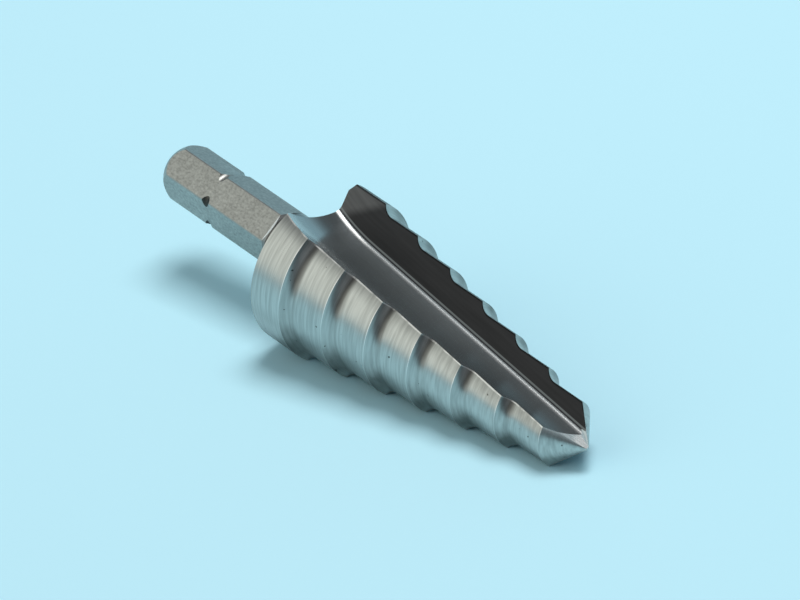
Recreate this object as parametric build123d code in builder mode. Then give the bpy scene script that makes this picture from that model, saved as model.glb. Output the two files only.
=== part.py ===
from build123d import *
import os
from math import acos, atan2, cos, hypot, radians, sin, sqrt, tan

# Step drill with two straight flutes and a quarter-inch hexagonal shank, in millimetres.
#
# The drill is drawn in its own frame. The X axis runs along the drill to its tip, with zero
# at the front corner of the largest step, and the XY plane holds both cutting edges. That
# frame then lies on the floor, Z up, in the way that the drill comes to rest.

# Steps
step_count = 7
largest_diameter = 20.0
diameter_drop = 2.0
step_pitch = 6.15
riser_radius = 2.0
point_angle = 95.0

# Collar behind the largest step
collar_length = 5.05
collar_bevel_length = 0.7
collar_bevel_height = 1.1
collar_back_dish = 0.5

# Relief: behind its edge a land draws in from the full circle and back towards the shank
radial_relief = 0.47
axial_relief = 0.7
relief_span = 112.0

# Flutes
root_height = 5.2
root_slope = 5.7
root_radius = 1.0
wall_radius = 12.1
wall_middle = 6.5
wheel_radius = 32.0
run_out_start = 1.0

# Facets that thin the web at the point, and the small flat left between them
thinning_angle = 51.0
chisel_width = 0.4

# Shank
bar_diameter = 7.25
hex_across_flats = 6.35
hex_turn = 43.7
hex_start = 11.0
flat_ramp_length = 0.6
neck_fillet = 1.5
shank_length = 30.65
dome_height = 2.5
groove_from_end = 9.55
groove_radius = 0.8
groove_depth = 0.38

# Sizes that follow
largest_radius = largest_diameter / 2
radius_drop = diameter_drop / 2
riser_reach = sqrt(riser_radius**2 - (riser_radius - radius_drop) ** 2)
last_corner = (step_count - 1) * step_pitch
last_radius = largest_radius - (step_count - 1) * radius_drop
lip_angle = radians(point_angle / 2)
tip = last_corner + last_radius / tan(lip_angle)
collar_back = -collar_length - collar_bevel_length
bar_radius = bar_diameter / 2
dome_radius = (bar_radius**2 + dome_height**2) / (2 * dome_height)
dome_centre = dome_radius - shank_length
chisel_radius = chisel_width / 2
drill_end = tip - chisel_radius / tan(lip_angle)
wall_centre = sqrt(wall_radius**2 - wall_middle**2)
half_turn = 180

# Heel of the collar, where the arc of the flute wall meets the land that ends there
slope = radians(root_slope)
heel_radius = largest_radius - radial_relief
wall_centre_height = root_height + axial_relief * tan(slope) + wall_centre / cos(slope)
wall_centre_distance = hypot(wall_centre_height, wall_middle)
heel_cosine = wall_centre_distance**2 + heel_radius**2 - wall_radius**2
heel_cosine /= 2 * wall_centre_distance * heel_radius
heel_angle = atan2(wall_middle, wall_centre_height) + acos(heel_cosine)

# The floor touches the corners of the lower cutting edge and the heel of the collar
lower_corner = Vector(0, -largest_radius, 0)
lower_edge = Vector(step_pitch, radius_drop, 0)
lower_heel = Vector(-axial_relief, -heel_radius * cos(heel_angle), -heel_radius * sin(heel_angle))
floor_up = lower_edge.cross(lower_heel - lower_corner).normalized()
floor_along = (Vector(1, 0, 0) - floor_up * floor_up.X).normalized()
middle = ((drill_end + dome_centre) * floor_along.X - dome_radius) / 2
floor_origin = floor_along * middle + floor_up * floor_up.dot(lower_corner)
floor = Plane(origin=floor_origin, x_dir=floor_along, z_dir=floor_up)
lying = floor.location.inverse()


def on_drill(plane, turn=0):
    """A plane of the drill's own frame, turned about its axis, as the drill lies."""
    return Plane(lying * Location((0, 0, 0), (turn, 0, 0)) * plane.location)


drill_axis = Axis(on_drill(Plane.XY).origin, on_drill(Plane.XY).x_dir)

with BuildPart() as step_drill:
    # Two relief-ground lands, each lofted through profiles that shrink and draw back
    for edge in (0, half_turn):
        station_count = 8
        lead = 3.0
        for station in range(station_count):
            behind = station * (half_turn + lead) / (station_count - 1) - lead
            land_radius = largest_radius - radial_relief * behind / relief_span
            backward = axial_relief * behind / relief_span
            with BuildSketch(on_drill(Plane.XY, edge - behind)):
                with BuildLine():
                    bore_start = (collar_back, bar_radius / 2)
                    here = (collar_back, land_radius)
                    Line(bore_start, here)
                    for step in range(step_count):
                        corner = (step * step_pitch - backward, land_radius - step * radius_drop)
                        Line(here, corner)
                        if step < step_count - 1:
                            here = (corner[0] + riser_reach, corner[1] - radius_drop)
                            RadiusArc(corner, here, -riser_radius)
                    point_end = (tip - chisel_radius * (tip - corner[0]) / corner[1], chisel_radius)
                    Polyline(corner, point_end, (last_corner, chisel_radius), bore_start)
                make_face()
        loft()

    # Back of the collar, dished and bevelled on the lathe
    with BuildSketch(on_drill(Plane.XY)):
        with BuildLine():
            bevel_foot = (collar_back, largest_radius - collar_bevel_height)
            bevel_top = (collar_back + 2 * collar_bevel_length, largest_radius + collar_bevel_height)
            dish_centre = (collar_back + collar_back_dish, 0)
            Polyline(dish_centre, bevel_foot, bevel_top, (-hex_start, bevel_top[1]), (-hex_start, 0), dish_centre)
        make_face()
    revolve(axis=drill_axis, mode=Mode.SUBTRACT)

    # Turned core, neck and domed bar
    with BuildSketch(on_drill(Plane.XY)):
        with BuildLine():
            pole = (-shank_length, 0)
            dome_end = (dome_centre - sqrt(dome_radius**2 - bar_radius**2), bar_radius)
            neck_end = (collar_back + collar_back_dish - neck_fillet, bar_radius)
            neck_top = (neck_end[0] + neck_fillet, bar_radius + neck_fillet)
            RadiusArc(pole, dome_end, dome_radius)
            Line(dome_end, neck_end)
            RadiusArc(neck_end, neck_top, -neck_fillet)
            core_start = (0, bar_radius)
            core_end = (last_corner, 3 * chisel_radius)
            Polyline(neck_top, core_start, core_end, (drill_end, 1.1 * chisel_radius), (drill_end, 0), pole)
        make_face()
    revolve(axis=drill_axis)

    # Straight flutes: a form wheel runs in from the point and lifts out through the collar
    root_start = Vector(run_out_start, root_height - run_out_start * tan(slope), 0)
    wheel_plane = Plane(
        origin=root_start,
        x_dir=(sin(slope), cos(slope), 0),
        z_dir=(cos(slope), -sin(slope), 0),
    )
    wheel_rim = 1.2 * largest_radius
    for edge in (0, half_turn):
        section = on_drill(wheel_plane, edge)
        with BuildSketch(section) as wheel:
            with BuildLine():
                wall_top = (wall_centre - sqrt(wall_radius**2 - (wheel_rim - wall_middle) ** 2), wheel_rim)
                RadiusArc((0, 0), wall_top, wall_radius)
                Polyline(wall_top, (wheel_rim, wheel_rim), (wheel_rim, 0), (0, 0))
            make_face()
            fillet(wheel.vertices().sort_by_distance((0, 0, 0))[0], root_radius)
        extrude(amount=tip, mode=Mode.SUBTRACT)
        wheel_centre = section.from_local_coords((wheel_radius, 0, 0))
        revolve(wheel.sketch, Axis(wheel_centre, -section.y_dir), revolution_arc=60, mode=Mode.SUBTRACT)

    # Facets that thin the web, each sloping back from the inner end of a lip
    thinning_plane = Plane(
        origin=(tip, 0, 0),
        x_dir=(sin(lip_angle), cos(lip_angle), 0),
        z_dir=(cos(lip_angle), -sin(lip_angle), 0),
    )
    for edge in (0, half_turn):
        with BuildSketch(on_drill(thinning_plane, edge)):
            with BuildLine():
                lean = last_radius / tan(radians(thinning_angle))
                Polyline((0, 0), (last_radius, 0), (last_radius, last_radius), (-lean, last_radius), (0, 0))
            make_face()
        extrude(amount=last_radius, both=True, mode=Mode.SUBTRACT)

    # Six flats milled on the bar, each run out on a short ramp
    for side in range(6):
        with BuildSketch(on_drill(Plane.XY, hex_turn + 30 + 60 * side)):
            with BuildLine():
                flat_height = hex_across_flats / 2
                ramp_top = (flat_ramp_length - hex_start, bar_radius)
                flat_start = (-hex_start, flat_height)
                flat_end = (-shank_length, flat_height)
                clear_end = (-shank_length, bar_diameter)
                clear_start = (flat_ramp_length - hex_start, bar_diameter)
                Polyline(ramp_top, flat_start, flat_end, clear_end, clear_start, ramp_top)
            make_face()
        extrude(amount=bar_radius, both=True, mode=Mode.SUBTRACT)

    # Ring groove for a quick-change chuck, which nicks only the corners of the hexagon
    with BuildSketch(on_drill(Plane.XY)):
        with Locations((groove_from_end - shank_length, bar_radius - groove_depth + groove_radius)):
            Circle(groove_radius)
    revolve(axis=drill_axis, mode=Mode.SUBTRACT)

step_drill.part.label = "step_drill"

os.makedirs("parts", exist_ok=True)
export_step(step_drill.part, "parts/step_drill.step")
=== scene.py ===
from math import acos, atan2, cos, hypot, pi, radians, sin, sqrt, tan

import bmesh
import bpy
from mathutils import Matrix, Vector


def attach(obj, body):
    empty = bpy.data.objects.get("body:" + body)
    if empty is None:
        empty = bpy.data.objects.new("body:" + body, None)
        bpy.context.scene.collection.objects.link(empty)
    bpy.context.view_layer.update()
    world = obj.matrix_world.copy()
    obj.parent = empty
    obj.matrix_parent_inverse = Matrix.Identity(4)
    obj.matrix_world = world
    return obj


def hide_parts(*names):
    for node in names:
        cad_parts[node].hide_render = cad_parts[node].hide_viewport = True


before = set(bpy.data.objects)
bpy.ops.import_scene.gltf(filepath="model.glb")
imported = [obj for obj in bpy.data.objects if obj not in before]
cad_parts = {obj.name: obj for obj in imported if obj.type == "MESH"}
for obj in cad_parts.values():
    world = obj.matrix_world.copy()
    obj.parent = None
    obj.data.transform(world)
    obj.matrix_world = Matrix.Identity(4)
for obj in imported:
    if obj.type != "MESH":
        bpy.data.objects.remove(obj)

bl_info = {
    "name": "Step drill",
    "version": (1, 0, 0),
    "blender": (4, 5, 0),
    "location": "View3D > Sidebar > Step drill",
    "description": "Relief-ground step drill with two straight flutes, lying on a studio floor",
    "category": "Add Mesh",
}

mm = 0.001
full_turn = 2 * pi


class StepSizes(bpy.types.PropertyGroup):
    """Steps, collar and relief of the ground body."""

    count: bpy.props.IntProperty(
        name="Steps", description="Number of diameters that the drill cuts", default=7, min=1
    )
    largest_diameter: bpy.props.FloatProperty(
        name="Largest Diameter", description="Diameter at the first cutting corner",
        default=20 * mm, unit="LENGTH",
    )
    diameter_drop: bpy.props.FloatProperty(
        name="Diameter Drop", description="Difference between neighbouring steps",
        default=2 * mm, unit="LENGTH",
    )
    pitch: bpy.props.FloatProperty(
        name="Pitch", description="Distance from one corner to the next",
        default=6.15 * mm, unit="LENGTH",
    )
    riser_radius: bpy.props.FloatProperty(
        name="Riser Radius", description="Hollow between a corner and the next land",
        default=2 * mm, unit="LENGTH",
    )
    point_angle: bpy.props.FloatProperty(
        name="Point Angle", description="Angle between the two lips",
        default=radians(95), subtype="ANGLE",
    )
    collar_length: bpy.props.FloatProperty(
        name="Collar Length", description="Land behind the first corner",
        default=5.05 * mm, unit="LENGTH",
    )
    bevel_length: bpy.props.FloatProperty(
        name="Bevel Length", description="Bevel behind the collar, along the drill",
        default=0.7 * mm, unit="LENGTH",
    )
    bevel_height: bpy.props.FloatProperty(
        name="Bevel Height", description="Bevel behind the collar, across the drill",
        default=1.1 * mm, unit="LENGTH",
    )
    back_dish: bpy.props.FloatProperty(
        name="Back Dish", description="Hollow of the back of the collar", default=0.5 * mm, unit="LENGTH"
    )
    radial_relief: bpy.props.FloatProperty(
        name="Radial Relief", description="What a land loses in radius by its heel",
        default=0.47 * mm, unit="LENGTH",
    )
    axial_relief: bpy.props.FloatProperty(
        name="Axial Relief", description="What a riser draws back by its heel",
        default=0.7 * mm, unit="LENGTH",
    )
    relief_span: bpy.props.FloatProperty(
        name="Relief Span", description="Angle from a cutting edge to its heel",
        default=radians(112), subtype="ANGLE",
    )


class FluteSizes(bpy.types.PropertyGroup):
    """The form wheel that grinds a flute, its path, and the facets at the point."""

    root_height: bpy.props.FloatProperty(
        name="Root Height", description="Root of the flute above the axis at the first corner",
        default=5.2 * mm, unit="LENGTH",
    )
    root_slope: bpy.props.FloatProperty(
        name="Root Slope", description="Fall of the root towards the point",
        default=radians(5.7), subtype="ANGLE",
    )
    root_radius: bpy.props.FloatProperty(
        name="Root Radius", description="Fillet between the rake face and the wall",
        default=1 * mm, unit="LENGTH",
    )
    wall_radius: bpy.props.FloatProperty(
        name="Wall Radius", description="Hollow of the flute wall", default=12.1 * mm, unit="LENGTH"
    )
    wall_middle: bpy.props.FloatProperty(
        name="Wall Middle", description="Deepest line of the wall, from the rake face",
        default=6.5 * mm, unit="LENGTH",
    )
    wheel_radius: bpy.props.FloatProperty(
        name="Wheel Radius", description="Arc on which the wheel lifts out",
        default=32 * mm, unit="LENGTH",
    )
    run_out_start: bpy.props.FloatProperty(
        name="Run-out Start", description="Where the wheel starts to lift", default=1 * mm, unit="LENGTH"
    )
    thinning_angle: bpy.props.FloatProperty(
        name="Thinning Angle", description="Slope of the facets that thin the web", default=radians(51),
        subtype="ANGLE",
    )
    chisel_width: bpy.props.FloatProperty(
        name="Chisel Width", description="Small flat at the very point", default=0.4 * mm, unit="LENGTH"
    )


class ShankSizes(bpy.types.PropertyGroup):
    """The hexagonal quick-change shank."""

    bar_diameter: bpy.props.FloatProperty(
        name="Bar Diameter", description="Round bar that the flats are milled on",
        default=7.25 * mm, unit="LENGTH",
    )
    across_flats: bpy.props.FloatProperty(
        name="Across Flats", description="Width of the hexagon", default=6.35 * mm, unit="LENGTH"
    )
    hex_turn: bpy.props.FloatProperty(
        name="Hexagon Turn", description="Angle of a corner from the cutting edge",
        default=radians(43.7), subtype="ANGLE",
    )
    hex_start: bpy.props.FloatProperty(
        name="Hexagon Start", description="Start of the flats behind the first corner",
        default=11 * mm, unit="LENGTH",
    )
    ramp_length: bpy.props.FloatProperty(
        name="Ramp Length", description="Ramp on which a flat runs out", default=0.6 * mm, unit="LENGTH"
    )
    neck_fillet: bpy.props.FloatProperty(
        name="Neck Fillet", description="Fillet between the bar and the collar",
        default=1.5 * mm, unit="LENGTH",
    )
    length: bpy.props.FloatProperty(
        name="Length", description="From the first corner to the end of the shank",
        default=30.65 * mm, unit="LENGTH",
    )
    dome_height: bpy.props.FloatProperty(
        name="Dome Height", description="Height of the round end", default=2.5 * mm, unit="LENGTH"
    )
    groove_from_end: bpy.props.FloatProperty(
        name="Groove Place", description="Middle of the ring groove from the end",
        default=9.55 * mm, unit="LENGTH",
    )
    groove_radius: bpy.props.FloatProperty(
        name="Groove Radius", description="Radius of the ring groove's section",
        default=0.8 * mm, unit="LENGTH",
    )
    groove_depth: bpy.props.FloatProperty(
        name="Groove Depth", description="Depth of the ring groove below the bar",
        default=0.28 * mm, unit="LENGTH",
    )


class SteelColours(bpy.types.PropertyGroup):
    """Colours of the steel, of the marks that grinding leaves on it, and of the painted shade, painted
    highlights and painted reflections on it.
    """

    land: bpy.props.FloatVectorProperty(
        name="Lands", description="Ground steel of the lands and risers", default=(0.455, 0.47, 0.455),
        subtype="COLOR", size=3, min=0.0, max=1.0,
    )
    # Dark brown for real specks, and for painted shade in the riser hollows, by the heels, along the
    # lower side and in the groove.
    stain_and_shade: bpy.props.FloatVectorProperty(
        name="Stain and Shade", description="Brown stain that collects in the corners",
        default=(0.045, 0.042, 0.037), subtype="COLOR", size=3, min=0.0, max=1.0,
    )
    # Near-white for painted highlights: the rims and heel edges of the lands, the root of each flute and
    # the ramp of each flat.
    painted_highlight: bpy.props.FloatVectorProperty(
        name="Painted Highlight", description="Bright steel along edges", default=(0.86, 0.86, 0.84),
        subtype="COLOR", size=3, min=0.0, max=1.0,
    )
    rake: bpy.props.FloatVectorProperty(
        name="Rake Face", description="Dark face in front of a cutting edge",
        default=(0.026, 0.026, 0.028), subtype="COLOR", size=3, min=0.0, max=1.0,
    )
    # A painted reflection: the lighter rake face towards the run-out.
    rake_end: bpy.props.FloatVectorProperty(
        name="Rake End", description="The same face where the wheel lifts out",
        default=(0.085, 0.085, 0.088), subtype="COLOR", size=3, min=0.0, max=1.0,
    )
    wall: bpy.props.FloatVectorProperty(
        name="Flute Wall", description="Finely ground wall of a flute", default=(0.30, 0.335, 0.34),
        subtype="COLOR", size=3, min=0.0, max=1.0,
    )
    # The facets' near-white is a painted highlight.
    facet: bpy.props.FloatVectorProperty(
        name="Facet", description="Bright facets at the point", default=(0.92, 0.92, 0.9),
        subtype="COLOR", size=3, min=0.0, max=1.0,
    )
    shank: bpy.props.FloatVectorProperty(
        name="Flats", description="Satin steel of the milled flats", default=(0.35, 0.355, 0.338),
        subtype="COLOR", size=3, min=0.0, max=1.0,
    )
    turned: bpy.props.FloatVectorProperty(
        name="Turned Shank", description="Turned steel of the shank and its dome",
        default=(0.24, 0.245, 0.24), subtype="COLOR", size=3, min=0.0, max=1.0,
    )


class StageSettings(bpy.types.PropertyGroup):
    """Floor, light and camera."""

    floor: bpy.props.FloatVectorProperty(
        name="Floor", description="Colour of the floor",
        default=(0.55, 0.875, 0.99), subtype="COLOR", size=3, min=0.0, max=1.0,
    )
    backdrop: bpy.props.FloatVectorProperty(
        name="Backdrop", description="Light that comes from low behind the drill",
        default=(0.42, 0.70, 0.82), subtype="COLOR", size=3, min=0.0, max=1.0,
    )
    dark_side: bpy.props.FloatVectorProperty(
        name="Dark Side", description="Light that comes from beyond the point",
        default=(0.09, 0.10, 0.11), subtype="COLOR", size=3, min=0.0, max=1.0,
    )
    card: bpy.props.FloatVectorProperty(
        name="Card", description="Light of the white card in front",
        default=(1.06, 1.09, 1.02), subtype="COLOR", size=3, min=0.0,
    )
    overhead: bpy.props.FloatVectorProperty(
        name="Overhead", description="Light that comes from above",
        default=(0.20, 0.215, 0.23), subtype="COLOR", size=3, min=0.0, max=1.0,
    )
    key_power: bpy.props.FloatProperty(
        name="Key Light", description="Power of the softbox above", default=6.4, unit="POWER"
    )
    floor_size: bpy.props.FloatProperty(
        name="Floor Size", description="Side of the square floor", default=6.0, unit="LENGTH"
    )
    lens: bpy.props.FloatProperty(
        name="Lens", description="Focal length of the camera in millimetres",
        default=270.0, subtype="DISTANCE_CAMERA",
    )


class Term:
    """A socket that can be reckoned with: an expression on terms adds the Math nodes."""

    def __init__(self, graph, socket):
        self.graph, self.socket = graph, socket

    def math(self, operation, *others):
        inputs = dict(enumerate((self, *others)))
        return self.graph.term("ShaderNodeMath", {"operation": operation}, inputs)

    def reflected(self, operation, other):
        return self.graph.term("ShaderNodeMath", {"operation": operation}, {0: other, 1: self})

    def __add__(self, other):
        return self.math("ADD", other)

    def __sub__(self, other):
        return self.math("SUBTRACT", other)

    def __mul__(self, other):
        return self.math("MULTIPLY", other)

    def __truediv__(self, other):
        return self.math("DIVIDE", other)

    def __mod__(self, other):
        return self.math("FLOORED_MODULO", other)

    def __neg__(self):
        return self.reflected("SUBTRACT", 0)

    def __lt__(self, other):
        return self.math("LESS_THAN", other)

    def __gt__(self, other):
        return self.math("GREATER_THAN", other)

    def __rsub__(self, other):
        return self.reflected("SUBTRACT", other)

    def __rtruediv__(self, other):
        return self.reflected("DIVIDE", other)

    __radd__ = __add__
    __rmul__ = __mul__


class Graph:
    """Builds one node tree, a node at a time."""

    def __init__(self, tree):
        self.tree = tree

    def node(self, kind, settings=None, inputs=None):
        """Adds a node: its settings first, then a value or a link for each socket named."""
        node = self.tree.nodes.new(kind)
        for name, value in (settings or {}).items():
            setattr(node, name, value)
        for key, value in (inputs or {}).items():
            if isinstance(value, Term):
                self.tree.links.new(value.socket, node.inputs[key])
            else:
                node.inputs[key].default_value = value
        return node

    def term(self, kind, settings=None, inputs=None, output=0):
        """Adds a node and returns one of its outputs as a term."""
        return Term(self, self.node(kind, settings, inputs).outputs[output])

    def parts(self, vector):
        """The three components of a vector."""
        node = self.node("ShaderNodeSeparateXYZ", inputs={0: vector})
        return [Term(self, output) for output in node.outputs]

    def vector(self, x=0.0, y=0.0, z=0.0):
        return self.term("ShaderNodeCombineXYZ", inputs={0: x, 1: y, 2: z})

    def mix(self, share, first, second):
        """From the first colour to the second."""
        inputs = {0: share, 6: first, 7: second}
        return self.term("ShaderNodeMix", {"data_type": "RGBA"}, inputs, output=2)

    def rise(self, value, low, high):
        """Smoothly from 0 at low to 1 at high."""
        settings = {"interpolation_type": "SMOOTHSTEP"}
        inputs = {"Value": value, "From Min": low, "From Max": high}
        return self.term("ShaderNodeMapRange", settings, inputs)

    def noise(self, x, y, z, detail=2.0):
        """Noise of about one wave to a unit of each coordinate."""
        inputs = {"Vector": self.vector(x, y, z), "Scale": 1.0, "Detail": detail}
        return self.term("ShaderNodeTexNoise", {"normalize": True}, inputs)

    def sample(self, mesh, field, index):
        """The value that a vector has at one point of a mesh."""
        settings = {"data_type": "FLOAT_VECTOR", "domain": "POINT"}
        inputs = {"Geometry": mesh, "Value": field, "Index": index}
        return self.term("GeometryNodeSampleIndex", settings, inputs)

    def scaled(self, colour, factor):
        """A colour made lighter or darker."""
        return self.term("ShaderNodeVectorMath", {"operation": "SCALE"}, {0: colour, "Scale": factor})


def geometry_tree(name, sockets):
    """A geometry tree with a mesh input and these named inputs: (name, socket type) each."""
    tree = bpy.data.node_groups.new(name, "GeometryNodeTree")
    tree.interface.new_socket(name="Mesh", in_out="INPUT", socket_type="NodeSocketGeometry")
    for label, kind in sockets:
        tree.interface.new_socket(name=label, in_out="INPUT", socket_type=kind)
    tree.interface.new_socket(name="Mesh", in_out="OUTPUT", socket_type="NodeSocketGeometry")
    graph = Graph(tree)
    given = graph.node("NodeGroupInput")
    return graph, {socket.name: Term(graph, socket) for socket in given.outputs if socket.name}


def close_tree(graph, mesh, material):
    """Every tree ends in Realize Instances and Set Material."""
    mesh = graph.term("GeometryNodeRealizeInstances", inputs={0: mesh})
    mesh = graph.term("GeometryNodeSetMaterial", inputs={"Geometry": mesh, "Material": material})
    graph.node("NodeGroupOutput", inputs={0: mesh})
    return graph.tree


def grown(name, mesh, tree, values):
    """A plain mesh object made by one geometry tree from a start mesh."""
    start = bpy.data.objects.new(name + "_start", mesh)
    bpy.context.scene.collection.objects.link(start)
    modifier = start.modifiers.new("Shape", "NODES")
    modifier.node_group = tree
    for item in tree.interface.items_tree:
        if item.in_out == "INPUT" and item.name in values:
            modifier[item.identifier] = values[item.name]
    bpy.context.view_layer.update()
    evaluated = start.evaluated_get(bpy.context.evaluated_depsgraph_get())
    plain = bpy.data.meshes.new_from_object(evaluated)
    bpy.data.objects.remove(start)
    made = bpy.data.objects.new(name, plain)
    bpy.context.scene.collection.objects.link(made)
    return made


def polyline(points, draws=None):
    """A mesh of loose points in order, each with the way that relief draws it in."""
    mesh = bpy.data.meshes.new("polyline")
    mesh.from_pydata([(x, y, 0) for x, y in points], [], [])
    drawn = mesh.attributes.new("draw_in", "FLOAT_VECTOR", "POINT")
    for index, (x, y) in enumerate(draws or []):
        drawn.data[index].vector = (x, y, 0)
    return mesh


def arc(centre, radius, start, end, segments):
    """Points along an arc, both ends included."""
    turns = [start + (end - start) * k / segments for k in range(segments + 1)]
    return [(centre[0] + radius * cos(a), centre[1] + radius * sin(a)) for a in turns]


def turning_tree():
    """Turns a profile about the X axis. Relief draws it in by the angle behind each of two edges."""
    graph, given = geometry_tree(
        "relief_turning",
        [
            ("Columns", "NodeSocketInt"),
            ("Relief Span", "NodeSocketFloat"),
            ("Lead", "NodeSocketFloat"),
            ("Finish", "NodeSocketMaterial"),
        ],
    )
    rows = graph.term("GeometryNodeAttributeDomainSize", {"component": "MESH"}, {0: given["Mesh"]})
    across = given["Columns"] + 1
    grid = graph.term("GeometryNodeMeshGrid", inputs={"Vertices X": rows, "Vertices Y": across})
    index = graph.term("GeometryNodeInputIndex")
    row = (index / across).math("FLOOR")
    behind = (index - row * across + 0.5) / given["Columns"] * full_turn
    relief = ((behind + given["Lead"]) % pi - given["Lead"]) / given["Relief Span"]
    kept = {"data_type": "FLOAT_VECTOR"}
    drawn = graph.term("GeometryNodeInputNamedAttribute", kept, {"Name": "draw_in"})
    place = graph.term("GeometryNodeInputPosition")

    def at_row(field):
        return graph.sample(given["Mesh"], field, row)

    along, radius, _ = graph.parts(at_row(place))
    draw_along, draw_radius, _ = graph.parts(at_row(drawn))
    along = along + draw_along * relief
    radius = radius + draw_radius * relief
    spot = graph.vector(along, radius * behind.math("COSINE"), -radius * behind.math("SINE"))
    mesh = graph.term("GeometryNodeSetPosition", inputs={"Geometry": grid, "Position": spot})
    mesh = graph.term("GeometryNodeMergeByDistance", inputs={"Geometry": mesh, "Distance": 1e-7})
    mesh = graph.term("GeometryNodeSetShadeSmooth", inputs={"Geometry": mesh})
    return close_tree(graph, mesh, given["Finish"])


def wheel_tree():
    """Sweeps the closed section of a form wheel along a straight root, then round its own centre."""
    graph, given = geometry_tree(
        "form_wheel",
        [
            ("Length", "NodeSocketFloat"),
            ("Wheel Radius", "NodeSocketFloat"),
            ("Lift Angle", "NodeSocketFloat"),
            ("Straight Rows", "NodeSocketInt"),
            ("Lifting Rows", "NodeSocketInt"),
            ("Hub", "NodeSocketVector"),
            ("Finish", "NodeSocketMaterial"),
        ],
    )
    around = graph.term("GeometryNodeAttributeDomainSize", {"component": "MESH"}, {0: given["Mesh"]})
    rows = given["Straight Rows"] + given["Lifting Rows"] + 3
    across = around + 1
    grid = graph.term("GeometryNodeMeshGrid", inputs={"Vertices X": rows, "Vertices Y": across})
    index = graph.term("GeometryNodeInputIndex")
    row = (index / across).math("FLOOR")
    column = (index - row * across) % around
    section = graph.sample(given["Mesh"], graph.term("GeometryNodeInputPosition"), column)
    cap = (row < 0.5) + (row > rows - 1.5)
    inputs = {"Factor": cap, 4: section, 5: given["Hub"]}
    section = graph.term("ShaderNodeMix", {"data_type": "VECTOR"}, inputs, output=1)
    height, side, _ = graph.parts(section)
    done = (row - 1).math("MAXIMUM", 0)
    turned = (1 - done / given["Lifting Rows"]).math("MAXIMUM", 0) * given["Lift Angle"]
    straight = (done - given["Lifting Rows"]) / given["Straight Rows"]
    straight = straight.math("MAXIMUM", 0).math("MINIMUM", 1) * given["Length"]
    from_centre = given["Wheel Radius"] - height
    along = straight - from_centre * turned.math("SINE")
    up = given["Wheel Radius"] - from_centre * turned.math("COSINE")
    spot = graph.vector(along, up, side)
    mesh = graph.term("GeometryNodeSetPosition", inputs={"Geometry": grid, "Position": spot})
    mesh = graph.term("GeometryNodeMergeByDistance", inputs={"Geometry": mesh, "Distance": 1e-7})
    mesh = graph.term("GeometryNodeSetShadeSmooth", inputs={"Geometry": mesh})
    return close_tree(graph, mesh, given["Finish"])


def ring_tree():
    """Repeats a cutter round the X axis."""
    graph, given = geometry_tree(
        "cutter_ring",
        [
            ("Count", "NodeSocketInt"),
            ("Turn", "NodeSocketFloat"),
            ("Finish", "NodeSocketMaterial"),
        ],
    )
    points = graph.term("GeometryNodePoints", inputs={"Count": given["Count"]})
    turn = graph.term("GeometryNodeInputIndex") / given["Count"] * full_turn + given["Turn"]
    placed = graph.term(
        "GeometryNodeInstanceOnPoints",
        inputs={"Points": points, "Instance": given["Mesh"], "Rotation": graph.vector(turn)},
    )
    return close_tree(graph, placed, given["Finish"])


def prism(name, outline, half_height):
    """A closed prism on an outline in the XY plane, with its faces turned outwards."""
    count = len(outline)
    points = [(x, y, z) for z in (-half_height, half_height) for x, y in outline]
    sides = [(k, (k + 1) % count, (k + 1) % count + count, k + count) for k in range(count)]
    mesh = bpy.data.meshes.new(name)
    mesh.from_pydata(points, [], [tuple(range(count)), tuple(range(count, 2 * count)), *sides])
    work = bmesh.new()
    work.from_mesh(mesh)
    bmesh.ops.recalc_face_normals(work, faces=work.faces)
    work.to_mesh(mesh)
    work.free()
    return mesh


def riser_reach(steps):
    """How far a riser's hollow reaches from its corner to the next land."""
    return sqrt(steps.riser_radius**2 - (steps.riser_radius - steps.diameter_drop / 2) ** 2)


def last_step(steps):
    """Place and radius of the last corner."""
    fallen = steps.count - 1
    return fallen * steps.pitch, (steps.largest_diameter - fallen * steps.diameter_drop) / 2


def sharp_tip(steps):
    """Place where the lips would meet."""
    last_corner, last_radius = last_step(steps)
    return last_corner + last_radius / tan(steps.point_angle / 2)


def drill_end(steps, flutes):
    """Place of the small flat at the very point."""
    return sharp_tip(steps) - flutes.chisel_width / 2 / tan(steps.point_angle / 2)


def wall_centre(flutes):
    """Height of the wall's centre over the root."""
    return sqrt(flutes.wall_radius**2 - flutes.wall_middle**2)


def dome(shank):
    """Radius and centre of the round end."""
    radius = ((shank.bar_diameter / 2) ** 2 + shank.dome_height**2) / (2 * shank.dome_height)
    return radius, radius - shank.length


def lying_place(steps, flutes, shank):
    """The matrix from the drill's own frame to the floor's. The drill rests on both corners of its
    lower edge and on the heel of the collar."""
    largest_radius = steps.largest_diameter / 2
    slope = flutes.root_slope
    heel_radius = largest_radius - steps.radial_relief
    centre_height = flutes.root_height + steps.axial_relief * tan(slope)
    centre_height += wall_centre(flutes) / cos(slope)
    centre_distance = hypot(centre_height, flutes.wall_middle)
    heel_cosine = centre_distance**2 + heel_radius**2 - flutes.wall_radius**2
    heel_cosine /= 2 * centre_distance * heel_radius
    heel_angle = atan2(flutes.wall_middle, centre_height) + acos(heel_cosine)
    lower_corner = Vector((0, -largest_radius, 0))
    lower_edge = Vector((steps.pitch, steps.diameter_drop / 2, 0))
    heel_across = heel_radius * cos(heel_angle)
    heel_under = heel_radius * sin(heel_angle)
    lower_heel = Vector((-steps.axial_relief, -heel_across, -heel_under))
    floor_up = lower_edge.cross(lower_heel - lower_corner).normalized()
    floor_along = (Vector((1, 0, 0)) - floor_up * floor_up.x).normalized()
    floor_across = floor_up.cross(floor_along)
    dome_radius, dome_centre = dome(shank)
    middle = ((drill_end(steps, flutes) + dome_centre) * floor_along.x - dome_radius) / 2
    origin = floor_along * middle + floor_up * floor_up.dot(lower_corner)
    turn = Matrix((floor_along, floor_across, floor_up))
    return turn.to_4x4() @ Matrix.Translation(-origin)


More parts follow.
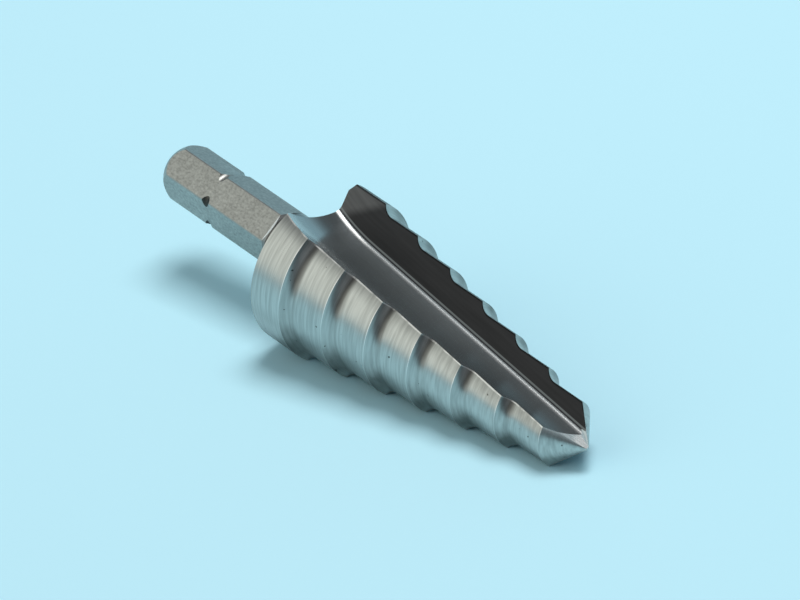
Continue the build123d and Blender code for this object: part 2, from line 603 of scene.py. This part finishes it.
def blank_profile(steps, flutes, shank):
    """The lathe profile from the dome to the point, with the way that relief draws each point in."""
    points, draws = [], []

    def add(new, draw=(0, 0)):
        points.extend(new)
        draws.extend([draw] * len(new))

    bar_radius = shank.bar_diameter / 2
    dome_radius, dome_centre = dome(shank)
    dome_spread = atan2(bar_radius, dome_radius - shank.dome_height)
    add(arc((dome_centre, 0), dome_radius, pi, pi - dome_spread, 24))
    largest_radius = steps.largest_diameter / 2
    collar_back = -steps.collar_length - steps.bevel_length
    dish = collar_back + steps.back_dish
    bevel_foot = largest_radius - steps.bevel_height
    neck_end = dish - shank.neck_fillet
    bar_rows = 12
    bar_length = neck_end - points[-1][0]
    add([(neck_end - bar_length * k / bar_rows, bar_radius) for k in range(bar_rows - 1, 0, -1)])
    neck_top = bar_radius + shank.neck_fillet
    lean = steps.back_dish / bevel_foot
    add(arc((neck_end, neck_top), shank.neck_fillet, -pi / 2, 0, 8)[:-1])
    add([(dish - lean * neck_top, neck_top), (collar_back, bevel_foot)])
    bevel_slope = steps.bevel_length / steps.bevel_height
    relief = (-steps.axial_relief, -steps.radial_relief)
    add([(-steps.collar_length, largest_radius)], (relief[1] * bevel_slope, relief[1]))
    land_rows = 6
    collar_land = [-steps.collar_length * (1 - k / land_rows) for k in range(1, land_rows)]
    add([(along, largest_radius) for along in collar_land], relief)
    drop = steps.diameter_drop / 2
    reach = riser_reach(steps)
    corner_angle = atan2(drop - steps.riser_radius, -reach) % full_turn
    for step in range(steps.count - 1):
        foot = step * steps.pitch + reach
        radius = largest_radius - step * drop - drop
        hollow_centre = (foot, radius + steps.riser_radius)
        add(arc(hollow_centre, steps.riser_radius, corner_angle, 1.5 * pi, 12), relief)
        land = steps.pitch - reach
        add([(foot + land * k / land_rows, radius) for k in range(1, land_rows)], relief)
    last_corner, last_radius = last_step(steps)
    chisel_radius = flutes.chisel_width / 2
    end = drill_end(steps, flutes)
    flank_rows = 8
    for k in range(flank_rows):
        share = k / flank_rows
        along = last_corner + (end - last_corner) * share
        radius = last_radius + (chisel_radius - last_radius) * share
        add([(along, radius)], (relief[0] * (1 - share), relief[1] * (1 - share)))
    add([(end, chisel_radius), (end, 0)])
    return polyline(points, draws)


def wheel_section(flutes, rim):
    """Section of the form wheel: rake face, root fillet, hollow wall, and a box beyond the drill."""
    centre = wall_centre(flutes)
    reach = flutes.wall_radius - flutes.root_radius
    fillet_x = centre - sqrt(reach**2 - (flutes.wall_middle - flutes.root_radius) ** 2)
    turned = atan2(flutes.root_radius - flutes.wall_middle, fillet_x - centre)
    points = arc((fillet_x, flutes.root_radius), flutes.root_radius, -pi / 2, turned, 12)
    top = atan2(rim - flutes.wall_middle, -sqrt(flutes.wall_radius**2 - (rim - flutes.wall_middle) ** 2))
    points += arc((centre, flutes.wall_middle), flutes.wall_radius, turned + full_turn, top, 40)[1:]
    points += [(rim, rim), (rim, 0)]
    return polyline(points)


def cut(blank, cutters):
    """Takes the cutters out of the blank and returns the blank as a plain mesh."""
    for cutter in cutters:
        modifier = blank.modifiers.new(cutter.name, "BOOLEAN")
        modifier.operation = "DIFFERENCE"
        modifier.solver = "EXACT"
        modifier.material_mode = "TRANSFER"
        modifier.object = cutter
    bpy.context.view_layer.update()
    evaluated = blank.evaluated_get(bpy.context.evaluated_depsgraph_get())
    mesh = bpy.data.meshes.new_from_object(evaluated)
    for used in (blank, *cutters):
        bpy.data.objects.remove(used)
    return mesh


def opaque(colour):
    return (*colour, 1)


def steel(name, place):
    """A metal's graph, its shader, and the drill's own coordinates in millimetres as three terms."""
    material = bpy.data.materials.new(name)
    material.use_nodes = True
    graph = Graph(material.node_tree)
    shader = material.node_tree.nodes["Principled BSDF"]
    shader.inputs["Metallic"].default_value = 1
    back = place.inverted()
    own = graph.term("ShaderNodeTexCoord", output="Object")
    inputs = {
        "Vector": own, "Location": back.translation / mm, "Rotation": back.to_euler(),
        "Scale": Vector((1, 1, 1)) / mm,
    }
    spot = graph.term("ShaderNodeMapping", {"vector_type": "POINT"}, inputs)
    return material, graph, shader, graph.parts(spot)


def finish(graph, shader, colour, roughness, height, depth):
    """Joins colour, roughness and a bump to the shader. The depth is in metres."""
    inputs = {"Height": height, "Distance": depth, "Strength": 1.0}
    bump = graph.term("ShaderNodeBump", inputs=inputs, output="Normal")
    for name, value in (("Base Color", colour), ("Roughness", roughness), ("Normal", bump)):
        graph.tree.links.new(value.socket, shader.inputs[name])


def flute_place(flutes, x, y, z, turn):
    """Height over the root, and distance from the rake face. Turn is 1 or -1, by the flute."""
    slope = flutes.root_slope
    lifted = (flutes.run_out_start / mm - x).math("MAXIMUM", 0)
    root = flutes.root_height / mm - x * tan(slope) + lifted * lifted / (2 * flutes.wheel_radius / mm)
    return (y * turn - root) * cos(slope), z * turn


def past_corner(steps, along):
    """Distance past the nearest corner behind."""
    return (along % (steps.pitch / mm)) * (along > 0)


def full_radius(steps, along):
    """Radius of the stepped profile before relief."""
    hollow = steps.riser_radius / mm
    into = (riser_reach(steps) / mm - past_corner(steps, along)).math("MAXIMUM", 0)
    arch = hollow - (hollow**2 - into * into).math("SQRT")
    fallen = (along / (steps.pitch / mm)).math("FLOOR").math("MAXIMUM", -1) + 1
    diameter = steps.largest_diameter / mm - fallen * (steps.diameter_drop / mm)
    return diameter / 2 + arch * (along > 0)


def land_steel(steps, flutes, colours, place):
    """Lands and risers: lines ground round the drill, painted shade in the corners, in the riser hollows
    and along the lower side, and painted highlights along the edges. Places are in millimetres, and the
    share runs from 0 at a cutting edge to 1 at its heel."""
    material, graph, shader, (x, y, z) = steel("ground_lands", place)
    behind = z.reflected("SUBTRACT", 0).math("ARCTAN2", y) % pi
    share = behind / steps.relief_span
    along = x + share * (steps.axial_relief / mm)
    pitch = steps.pitch / mm
    reach = riser_reach(steps) / mm
    past = past_corner(steps, along)
    height, side = flute_place(flutes, x, y, z, z.math("SIGN"))
    across = height - wall_centre(flutes) / mm
    aside = side - flutes.wall_middle / mm
    heel = (across * across + aside * aside).math("SQRT") - flutes.wall_radius / mm

    fine = graph.noise(along * 3.2, behind * 1.5, 3.0)
    broad = graph.noise(along * 0.9, behind * 0.9, 7.0, detail=3.0)
    blotch = graph.noise(x * 0.5, y * 0.5, z * 0.5, detail=4.0)
    finest = graph.noise(along * 7.5, behind * 4.0, 11.0, detail=3.0)
    lines = graph.rise(fine, 0.32, 0.68)
    colour = graph.scaled(colours.land, 0.68 + 0.25 * lines + 0.10 * broad + 0.30 * finest)

    last_corner = last_step(steps)[0] / mm
    stepped = (along > 0) * (along < last_corner)
    # Painted shade: the riser hollows, the corners by each heel, the lower side by each cutting edge and
    # the collar's lower side are darkened towards the stain colour. This stands for shade and for the
    # floor's shadow seen in the steel. The blotch only varies it at random.
    riser = stepped * graph.rise(past, reach * 1.1, reach * 0.7)
    near_heel = graph.rise(heel, 1.9, 0.1)
    near_edge = 0.5 * graph.rise(share, 0.36, 0.10) + 0.4 * graph.rise(share, 0.14, 0.08)
    low = graph.rise(share, 0.52, 0.22) * graph.rise(share, 0.02, 0.16)
    stain_and_shade = riser * (0.06 + 0.25 * near_heel + 0.45 * low)
    stain_and_shade = stain_and_shade + (1 - riser) * (0.28 * near_heel + near_edge) * (along < last_corner)
    on_collar = 0.16 * graph.rise(share, 0.5, 0.38) + 0.4 * graph.rise(share, 0.2, 0.14)
    stain_and_shade = stain_and_shade + (along < 0) * on_collar
    stain_and_shade = stain_and_shade * (0.8 + 0.4 * graph.rise(blotch, 0.3, 0.7))
    colour = graph.mix(stain_and_shade.math("MINIMUM", 0.9), colour, opaque(colours.stain_and_shade))
    # Painted shade: a dark band in the foot of each riser, deeper on the lower side.
    foot = graph.rise(past, 0.3 * reach, 0.58 * reach) * graph.rise(past, 1.08 * reach, 0.62 * reach)
    foot = foot * stepped * (0.04 + 0.70 * graph.rise(share, 0.58, 0.78))
    colour = graph.mix(foot, colour, opaque(colours.stain_and_shade))

    # Painted highlight: a bright line along the front rim of each land and along each heel edge.
    ragged = 0.05 * graph.rise(blotch, 0.4, 0.6) + 0.10
    rim_start, rim_full = 0.16, 0.06
    rim = graph.rise(past, pitch - rim_start, pitch - rim_full)
    rim = rim + graph.rise(along.math("ABSOLUTE"), rim_start, rim_full) * (along < 0)
    heel_edge = graph.rise(heel, ragged + 0.05, ragged) * graph.rise(broad, 0.3, 0.6)
    rim = rim * (1 - near_heel) * (0.2 + 0.8 * graph.rise(share, 0.45, 0.7))
    bright = (rim + heel_edge * 0.8).math("MINIMUM", 1)
    colour = graph.mix(bright * 0.8, colour, opaque(colours.painted_highlight))

    specks = graph.noise(x * 1.7, y * 1.7, z * 1.7, detail=1.0)
    colour = graph.mix(graph.rise(specks, 0.765, 0.79) * 0.8, colour, opaque(colours.stain_and_shade))
    roughness = 0.25 + 0.08 * broad + 0.10 * stain_and_shade + 0.08 * bright
    # Painted reflection: the flank near its heel is a pale blue-grey with less metal, standing in for
    # the floor's light.
    flank_heel = graph.rise(along, last_corner, last_corner + 0.1) * graph.rise(share, 0.68, 0.92)
    colour = graph.mix(flank_heel, colour, graph.scaled(colours.wall, 2.0))
    finish(graph, shader, colour, roughness, fine + 0.6 * broad, 0.0035 * mm)
    graph.tree.links.new((1 - 0.6 * flank_heel).socket, shader.inputs["Metallic"])
    return material


def flute_steel(steps, flutes, colours, place):
    """Flutes: a dark rake face, and a wall with a fine finish drawn along the drill, with painted shade,
    a painted reflection and a painted highlight along the root.
    """
    material, graph, shader, (x, y, z) = steel("ground_flutes", place)
    turn = (y + z).math("SIGN")
    height, side = flute_place(flutes, x, y, z, turn)
    on_rake = graph.rise(side, 0.20, 0.14)
    run_out_lean = 0.73
    # Painted reflection: the rake face turns lighter towards the run-out by the collar.
    lifted = graph.rise(y * turn - run_out_lean * x, 9.0, 10.6)
    lengthwise = graph.noise(x * 0.12, height * 2.0, side * 2.0, detail=1.0)
    cloud = graph.noise(x * 0.5, y * 0.5, z * 0.5, detail=4.0)
    rake = graph.mix(lifted, opaque(colours.rake), opaque(colours.rake_end))
    rake = graph.scaled(rake, 0.7 + 0.6 * lengthwise)
    edge = full_radius(steps, x) - (y * y + z * z).math("SQRT")
    rake = graph.scaled(rake, 1 - 0.75 * graph.rise(edge, 0.26, 0.10))
    # Painted highlight: a faint light line where the rake face meets the root.
    line = graph.rise(side, 0.012, 0.03) * graph.rise(side, 0.10, 0.07)
    rake = graph.mix(0.42 * line, rake, opaque(colours.wall))
    wall = graph.scaled(colours.wall, 0.88 + 0.2 * lengthwise + 0.08 * cloud)
    # Painted shade: the wall is darker near the root at the collar end, and darker towards the point.
    wall = graph.scaled(wall, 1 - 0.45 * graph.rise(side, 5.0, 2.5) * graph.rise(x, 1.0, -3.0))
    wall = graph.scaled(wall, 1 - 0.3 * graph.rise(x, 14.0, 30.0))
    # Painted highlight: the white line along the root fillet, strongest at the collar end.
    root = graph.rise(side, 0.17, 0.36) * graph.rise(side, 0.75, 0.40)
    root = root * (0.38 + 0.55 * graph.rise(x, 3.5, -3.0))
    wall = graph.mix(root, wall, opaque(colours.painted_highlight))
    colour = graph.mix(on_rake, wall, rake)
    roughness = 0.19 + 0.02 * cloud + 0.16 * on_rake + 0.14 * root
    finish(graph, shader, colour, roughness, lengthwise, 0.001 * mm)
    shader.inputs["Metallic"].default_value = 0.82
    return material


def facet_steel(colours, place):
    """Facets at the point, painted near-white as a highlight, and farther out a pale blue-grey as a
    painted reflection of the floor.
    """
    material, graph, shader, (x, y, z) = steel("thinned_point", place)
    lines = graph.noise(x * 0.6, y * 5.0, z * 1.5)
    colour = graph.scaled(colours.facet, 0.85 + 0.3 * lines)
    # Painted reflection: farther out the facets turn a pale blue-grey, standing in for the floor's
    # light.
    outer = graph.rise((y * y + z * z).math("SQRT"), 0.9, 1.5)
    colour = graph.mix(outer, colour, graph.scaled(colours.wall, 2.0))
    finish(graph, shader, colour, 0.22 + 0.1 * lines, lines, 0.003 * mm)
    shader.inputs["Metallic"].default_value = 0.4
    return material


def milled_steel(shank, colours, place):
    """Milled flats of the shank: a satin grain, and a painted highlight on the ramp where each flat runs
    out.
    """
    material, graph, shader, (x, y, z) = steel("milled_flats", place)
    grain = graph.noise(x * 2.8, y * 3.6, z * 3.6, detail=4.0)
    cloud = graph.noise(x * 0.45, y * 0.6, z * 0.6, detail=4.0)
    colour = graph.scaled(colours.shank, 0.26 + 1.2 * grain + 0.24 * cloud)
    # Painted highlight: a bright line on each ramp, with less metal.
    ramp = graph.rise(x, -shank.hex_start / mm - 0.04, -shank.hex_start / mm)
    colour = graph.mix(ramp, colour, opaque(colours.painted_highlight))
    finish(graph, shader, colour, 0.30 + 0.12 * grain, grain, 0.012 * mm)
    graph.tree.links.new((1 - 0.7 * ramp).socket, shader.inputs["Metallic"])
    return material


def turned_steel(shank, colours, place):
    """Turned bar, dome, neck and back of the collar, darker than the flats."""
    material, graph, shader, (x, y, z) = steel("turned_shank", place)
    lines = graph.noise(x * 4.0, y * 0.8, z * 0.8, detail=3.0)
    cloud = graph.noise(x * 0.5, y * 0.5, z * 0.5, detail=4.0)
    colour = graph.scaled(colours.turned, 0.72 + 0.3 * lines + 0.26 * cloud)
    dome_foot = (shank.dome_height - shank.length) / mm
    corners = graph.rise(x, dome_foot - 0.9, dome_foot - 0.5) * (x < -shank.hex_start / mm)
    colour = graph.mix(corners, colour, opaque(colours.shank))
    ramp_end = (shank.ramp_length - shank.hex_start) / mm
    shadow = graph.rise(x, ramp_end - 0.1, ramp_end) * graph.rise(x, ramp_end + 0.35, ramp_end + 0.2)
    colour = graph.mix(0.7 * shadow, colour, opaque(colours.stain_and_shade))
    finish(graph, shader, colour, 0.26 + 0.1 * cloud, lines, 0.004 * mm)
    return material


def groove_steel(colours, place):
    """Groove of the shank, a little darker than the flats, with painted shade on its lower side."""
    material, graph, shader, (x, y, z) = steel("shaded_groove", place)
    lines = graph.noise(x * 5.0, y * 0.6, z * 0.6)
    # Painted shade: darker on the lower side of the groove.
    lower_shade = graph.rise(y, 1.2, -0.6)
    colour = graph.mix(0.15 + 0.75 * lower_shade + 0.1 * lines, opaque(colours.shank), opaque(colours.stain_and_shade))
    finish(graph, shader, colour, 0.34 + 0.1 * lines, lines, 0.002 * mm)
    return material


def turned_piece(name, profile, turning, steps, material):
    """A profile turned round the drill's axis, and relieved where the profile says so."""
    values = {
        "Columns": 300,
        "Relief Span": steps.relief_span,
        "Lead": radians(3),
        "Finish": material,
    }
    return grown(name, profile, turning, values)


def swept_flutes(steps, flutes, ring, material):
    """What the form wheel takes out of both flutes."""
    rim = 1.2 * steps.largest_diameter / 2
    values = {
        "Length": 1.1 * sharp_tip(steps),
        "Wheel Radius": flutes.wheel_radius,
        "Lift Angle": radians(60),
        "Straight Rows": 60,
        "Lifting Rows": 80,
        "Hub": Vector((0.6 * rim, 0.6 * rim, 0)),
        "Finish": material,
    }
    wheel = grown("wheel", wheel_section(flutes, rim), wheel_tree(), values)
    slope = flutes.root_slope
    start = flutes.run_out_start
    root_start = Vector((start, flutes.root_height - start * tan(slope), 0))
    wheel.data.transform(Matrix.Translation(root_start) @ Matrix.Rotation(-slope, 4, "Z"))
    both = grown("flutes", wheel.data, ring, {"Count": 2, "Turn": 0.0, "Finish": material})
    bpy.data.objects.remove(wheel)
    return both


def thinning_wedges(steps, flutes, ring, material):
    """What the facets at the point take away."""
    _, last_radius = last_step(steps)
    lip = steps.point_angle / 2
    lean = last_radius / tan(flutes.thinning_angle)
    outline = [(0, 0), (last_radius, 0), (last_radius, last_radius), (-lean, last_radius)]
    wedge = prism("wedge", outline, last_radius)
    across = Vector((sin(lip), cos(lip), 0))
    forward = Vector((cos(lip), -sin(lip), 0))
    turn = Matrix((across, Vector((0, 0, 1)), forward)).transposed().to_4x4()
    wedge.transform(Matrix.Translation((sharp_tip(steps), 0, 0)) @ turn)
    return grown("wedges", wedge, ring, {"Count": 2, "Turn": 0.0, "Finish": material})


def flat_cutters(shank, ring, material):
    """What the six flats and their ramps take off the bar. The cutters are a little narrower than
    the sides of the hexagon, so neighbours stay apart."""
    bar_radius = shank.bar_diameter / 2
    flat_height = shank.across_flats / 2
    start = -shank.hex_start
    end = -shank.length - bar_radius
    overshoot = 1.5
    ramp_top = flat_height + (bar_radius - flat_height) * overshoot
    ramp_end = start + shank.ramp_length * overshoot
    outline = [(ramp_end, ramp_top), (start, flat_height), (end, flat_height), (end, ramp_top)]
    flat = prism("flat", outline, 0.97 * flat_height * tan(radians(30)))
    values = {"Count": 6, "Turn": shank.hex_turn + radians(30), "Finish": material}
    return grown("flats", flat, ring, values)


def groove_cutter(steps, shank, turning, material):
    """The ring that turns the groove of the shank."""
    bar_radius = shank.bar_diameter / 2
    along = shank.groove_from_end - shank.length
    centre = (along, bar_radius - shank.groove_depth + shank.groove_radius)
    section = polyline(arc(centre, shank.groove_radius, 0, -full_turn, 32))
    return turned_piece("groove", section, turning, steps, material)


class STEPDRILL_OT_drill(bpy.types.Operator):
    """Make the drill: turned and relieved blank, ground flutes, thinned point, milled shank"""

    bl_idname = "step_drill.drill"
    bl_label = "Drill"

    def execute(self, context):
        steps = context.scene.step_drill_steps
        flutes = context.scene.step_drill_flutes
        shank = context.scene.step_drill_shank
        colours = context.scene.step_drill_colours
        place = lying_place(steps, flutes, shank)
        lands = land_steel(steps, flutes, colours, place)
        flute = flute_steel(steps, flutes, colours, place)
        facet = facet_steel(colours, place)
        satin = milled_steel(shank, colours, place)
        turned = turned_steel(shank, colours, place)
        groove_finish = groove_steel(colours, place)
        turning = turning_tree()
        ring = ring_tree()
        blank = turned_piece("blank", blank_profile(steps, flutes, shank), turning, steps, lands)
        cutters = [
            swept_flutes(steps, flutes, ring, flute),
            thinning_wedges(steps, flutes, ring, facet),
            flat_cutters(shank, ring, satin),
            groove_cutter(steps, shank, turning, groove_finish),
        ]
        mesh = cut(blank, cutters)
        finishes = [lands, flute, facet, satin, turned, groove_finish]
        behind_collar = -steps.collar_length - steps.bevel_length / 2
        chosen = []
        for face in mesh.polygons:
            given = mesh.materials[face.material_index]
            on_shank = given == lands and face.center.x < behind_collar
            chosen.append(finishes.index(turned if on_shank else given))
            face.use_smooth = given not in (satin, facet)
        mesh.materials.clear()
        for material in finishes:
            mesh.materials.append(material)
        mesh.polygons.foreach_set("material_index", chosen)
        mesh.transform(place)
        sharp_angle = radians(20)
        mesh.set_sharp_from_angle(angle=sharp_angle)
        drill = bpy.data.objects.new("drill", mesh)
        context.scene.collection.objects.link(drill)
        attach(drill, "root")
        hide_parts("step_drill")
        return {"FINISHED"}


def pale_floor(settings):
    """A plain square floor."""
    half = settings.floor_size / 2
    mesh = bpy.data.meshes.new("floor")
    corners = [(-half, -half, 0), (half, -half, 0), (half, half, 0), (-half, half, 0)]
    mesh.from_pydata(corners, [], [(0, 1, 2, 3)])
    material = bpy.data.materials.new("pale_floor")
    material.use_nodes = True
    shader = material.node_tree.nodes["Principled BSDF"]
    shader.inputs["Base Color"].default_value = opaque(settings.floor)
    shader.inputs["Roughness"].default_value = 0.8
    shader.inputs["Specular IOR Level"].default_value = 0.1
    mesh.materials.append(material)
    return bpy.data.objects.new("floor", mesh)


def softbox(settings):
    """The key light above, turned towards the drill."""
    lamp = bpy.data.lights.new("softbox", "AREA")
    lamp.size = 0.5
    lamp.energy = settings.key_power
    box = bpy.data.objects.new("softbox", lamp)
    box.location = (-0.02, 0.22, 0.97)
    box.rotation_euler = box.location.to_track_quat("Z", "Y").to_euler()
    return box


def studio(settings):
    """The light all round: a pale backdrop behind, a dark side beyond the point, grey above, and a
    white card in front."""
    world = bpy.data.worlds.new("studio")
    world.use_nodes = True
    graph = Graph(world.node_tree)
    towards = graph.term("ShaderNodeTexCoord", output="Generated")

    def facing(x, y, z):
        inputs = {0: towards, 1: Vector((x, y, z)).normalized()}
        return graph.term("ShaderNodeVectorMath", {"operation": "DOT_PRODUCT"}, inputs, output="Value")

    up = facing(0, 0, 1)
    behind = graph.rise(facing(-0.85, 0.5, 0.1), -0.45, 0.45)
    light = graph.mix(behind, opaque(settings.dark_side), opaque(settings.backdrop))
    light = graph.mix(graph.rise(up, 0.15, 0.6), light, opaque(settings.overhead))
    card = graph.rise(facing(-0.4, -0.75, 0.5), 0.70, 0.96) * graph.rise(up, -0.05, 0.2)
    light = graph.mix(card, light, opaque(settings.card))
    graph.tree.links.new(light.socket, world.node_tree.nodes["Background"].inputs["Color"])
    return world


def camera(settings):
    """The camera, which looks down on the drill from beyond its point."""
    camera_data = bpy.data.cameras.new("camera")
    camera_data.lens = settings.lens
    camera_data.clip_start = 0.05
    camera_data.clip_end = 20
    azimuth = radians(52.818124)
    elevation = radians(30.93683)
    roll = radians(-6.258238)
    distance = 0.675
    aim = Vector((0.0002112, 0.0033735, 0.0061011))
    turn = Matrix.Rotation(azimuth, 3, "Z") @ Matrix.Rotation(pi / 2 - elevation, 3, "X")
    turn = turn @ Matrix.Rotation(roll, 3, "Z")
    placed = bpy.data.objects.new("camera", camera_data)
    placed.matrix_world = Matrix.Translation(aim + turn @ Vector((0, 0, distance))) @ turn.to_4x4()
    return placed


class STEPDRILL_OT_stage(bpy.types.Operator):
    """Make the floor, the soft light and the camera"""

    bl_idname = "step_drill.stage"
    bl_label = "Stage"

    def execute(self, context):
        scene = context.scene
        settings = scene.step_drill_stage
        floor = pale_floor(settings)
        key_light = softbox(settings)
        view = camera(settings)
        for item in (floor, key_light, view):
            scene.collection.objects.link(item)
        scene.world = studio(settings)
        scene.camera = view
        scene.view_settings.view_transform = "Standard"
        return {"FINISHED"}


class STEPDRILL_PT_panel(bpy.types.Panel):
    """Sizes of the drill and the buttons that make it"""

    bl_idname = "STEPDRILL_PT_panel"
    bl_label = "Step drill"
    bl_space_type = "VIEW_3D"
    bl_region_type = "UI"
    bl_category = "Step drill"

    def draw(self, context):
        layout = self.layout
        for group, attribute in settings_names.items():
            settings = getattr(context.scene, attribute)
            box = layout.box()
            box.label(text=group.__doc__)
            for name in group.__annotations__:
                box.prop(settings, name)
        for operator in (STEPDRILL_OT_drill, STEPDRILL_OT_stage):
            layout.operator(operator.bl_idname)


settings_names = {
    StepSizes: "step_drill_steps",
    FluteSizes: "step_drill_flutes",
    ShankSizes: "step_drill_shank",
    SteelColours: "step_drill_colours",
    StageSettings: "step_drill_stage",
}
operators = (STEPDRILL_OT_drill, STEPDRILL_OT_stage)


def register():
    for group, name in settings_names.items():
        bpy.utils.register_class(group)
        setattr(bpy.types.Scene, name, bpy.props.PointerProperty(type=group))
    for shown in (*operators, STEPDRILL_PT_panel):
        bpy.utils.register_class(shown)


def unregister():
    for shown in (STEPDRILL_PT_panel, *reversed(operators)):
        bpy.utils.unregister_class(shown)
    for group, name in reversed(settings_names.items()):
        delattr(bpy.types.Scene, name)
        bpy.utils.unregister_class(group)


def main():
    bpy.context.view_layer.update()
    register()
    bpy.ops.step_drill.drill()
    bpy.ops.step_drill.stage()


if __name__ == "__main__":
    main()
